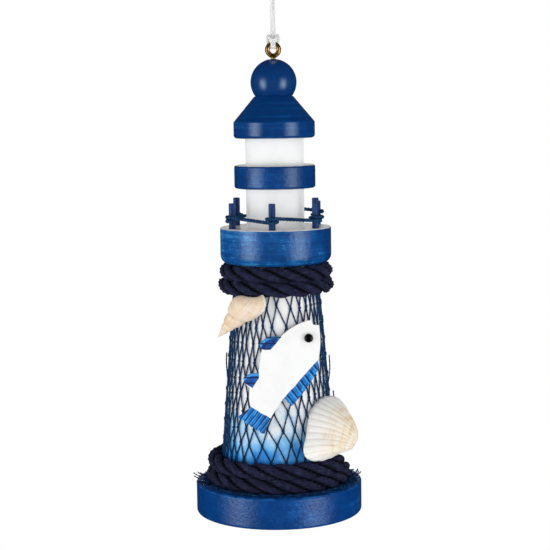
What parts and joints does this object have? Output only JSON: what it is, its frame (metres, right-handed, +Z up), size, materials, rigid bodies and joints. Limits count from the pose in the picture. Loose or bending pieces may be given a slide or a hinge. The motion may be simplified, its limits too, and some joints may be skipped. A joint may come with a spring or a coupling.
{
  "type": "lighthouse ornament",
  "caption": "Hanging lighthouse ornament of turned painted wood with a net over its tower, rope windings, a peg railing, sea shells, a cut-out fish and a hanging cord on a screw eye.",
  "frame": {"origin": "centre of the base's underside", "axes": "+Z up along the tower's axis, -Y to the front where the fish is, +X to the right of the front"},
  "size_m": [0.07, 0.07, 0.2329],
  "materials": {
    "blue_paint": "deep blue satin paint on turned wood",
    "white_paint": "white satin paint on turned wood",
    "tower_paint": "white paint fading to blue at the foot",
    "rope": "near-black navy laid rope",
    "net_twine": "dark blue knotted twine",
    "railing_twine": "dark blue twisted twine",
    "post_paint": "blue paint on dowel pegs",
    "brass": "bright brass wire",
    "white_cord": "white braided cord",
    "fish_paint": "white paint with blue striped fins",
    "black_bead": "glossy black bead",
    "spiral_shell": "cream sea shell",
    "cockle_shell": "cream sea shell with tan bands",
    "bare_dowel": "bare beech dowel"
  },
  "bodies": {
    "ornament": {"base_disc": "blue_paint", "gallery_disc": "blue_paint", "lantern_ring": "blue_paint", "roof": "blue_paint", "ball_finial": "blue_paint", "lantern_lower": "white_paint", "lantern_upper": "white_paint", "tower": "tower_paint", "lower_rope": "rope", "upper_rope": "rope", "net": "net_twine", "railing_cord": "railing_twine", "railing_post_1": "post_paint", "railing_post_2": "post_paint", "railing_post_3": "post_paint", "railing_post_4": "post_paint", "railing_post_5": "post_paint", "railing_post_6": "post_paint", "fish": "fish_paint", "fish_eye": "black_bead", "spiral_shell": "spiral_shell", "cockle_shell": "cockle_shell", "foot_dowel": "bare_dowel", "head_dowel": "bare_dowel", "lantern_rod": "bare_dowel", "finial_dowel": "bare_dowel"},
    "eye": {"screw_eye": "brass"},
    "hitch": {"hanging_hitch": "white_cord"},
    "loop": {"hanging_legs": "white_cord", "hanging_knot": "white_cord"}
  },
  "joints": [
    {"name": "eye_turn", "type": "hinge", "parent": "ornament", "child": "eye", "pos_m": [0, 0, 0.1909], "axis": [0, 0, 1], "range_deg": [-90, 90]},
    {"name": "hitch_slide", "type": "hinge", "parent": "eye", "child": "hitch", "pos_m": [0, 0, 0.19368], "axis": [0, 1, 0], "range_deg": [-60, 60]},
    {"name": "loop_swing", "type": "hinge", "parent": "hitch", "child": "loop", "pos_m": [0, 0, 0.20053], "axis": [1, 0, 0], "range_deg": [-95, 95]}
  ]
}
